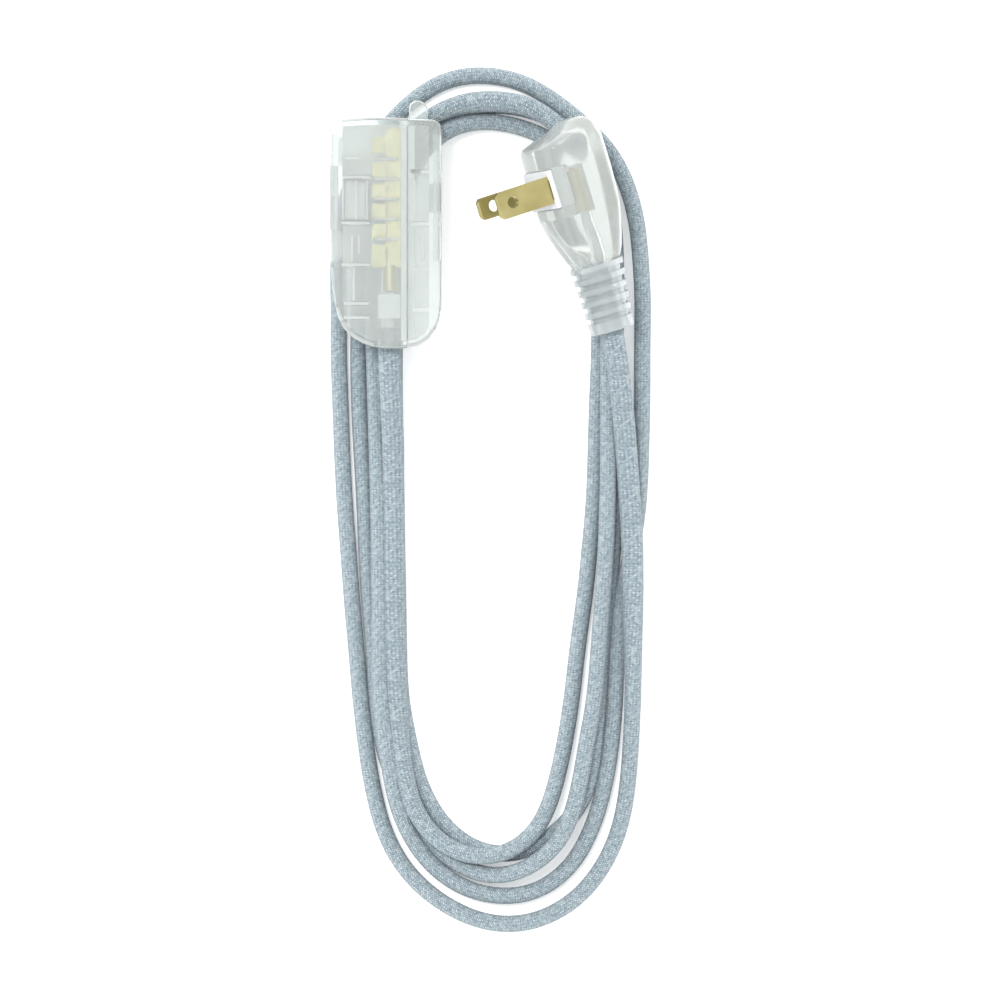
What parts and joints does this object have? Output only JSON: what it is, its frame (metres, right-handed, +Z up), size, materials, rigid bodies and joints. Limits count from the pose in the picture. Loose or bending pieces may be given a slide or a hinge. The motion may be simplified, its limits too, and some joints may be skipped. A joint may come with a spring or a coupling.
{
  "type": "extension cord",
  "caption": "Two-wire extension cord coiled in a flat hank, with a clear multi-outlet receptacle block with sliding covers and a clear flat right-angle plug.",
  "frame": {"origin": "on the surface the hank lies on, straight below the middle of the receptacle block", "axes": "+Z up off that surface; +Y along the receptacle block, away from its cord end; +X across it, towards the plug"},
  "size_m": [0.092, 0.2468, 0.0452],
  "materials": {
    "cord": "woven slate blue-grey covering",
    "shell": "clear, slightly green-grey",
    "plug_body": "clear moulded vinyl",
    "cover": "pale translucent",
    "insulator": "white",
    "contact": "bright stamped strip",
    "strand": "bare copper"
  },
  "bodies": {
    "cord_set": {"cord_hank": "cord", "cord_lead_receptacle": "cord", "cord_lead_plug": "cord", "receptacle_left_shell": "shell", "receptacle_right_shell": "shell", "hot_bus": "contact", "neutral_bus": "contact", "receptacle_hot_wire": "insulator", "receptacle_neutral_wire": "insulator", "receptacle_hot_strands": "strand", "receptacle_neutral_strands": "strand", "plug_overmould": "plug_body", "plug_blade_bridge": "insulator", "plug_hot_blade": "contact", "plug_neutral_blade": "contact", "plug_hot_wire": "insulator", "plug_neutral_wire": "insulator", "plug_hot_strands": "strand", "plug_neutral_strands": "strand"},
    "left_upper_slider": {"left_upper_cover": "cover"},
    "left_lower_slider": {"left_lower_cover": "cover"},
    "right_slider": {"right_cover": "cover"}
  },
  "joints": [
    {"name": "left_upper_cover_slide", "type": "slide", "parent": "cord_set", "child": "left_upper_slider", "axis": [0, 1, 0], "range_m": [0, 0.0087]},
    {"name": "left_lower_cover_slide", "type": "slide", "parent": "cord_set", "child": "left_lower_slider", "axis": [0, -1, 0], "range_m": [0, 0.0087]},
    {"name": "right_cover_slide", "type": "slide", "parent": "cord_set", "child": "right_slider", "axis": [0, 1, 0], "range_m": [-0.0133, 0.0133]}
  ]
}
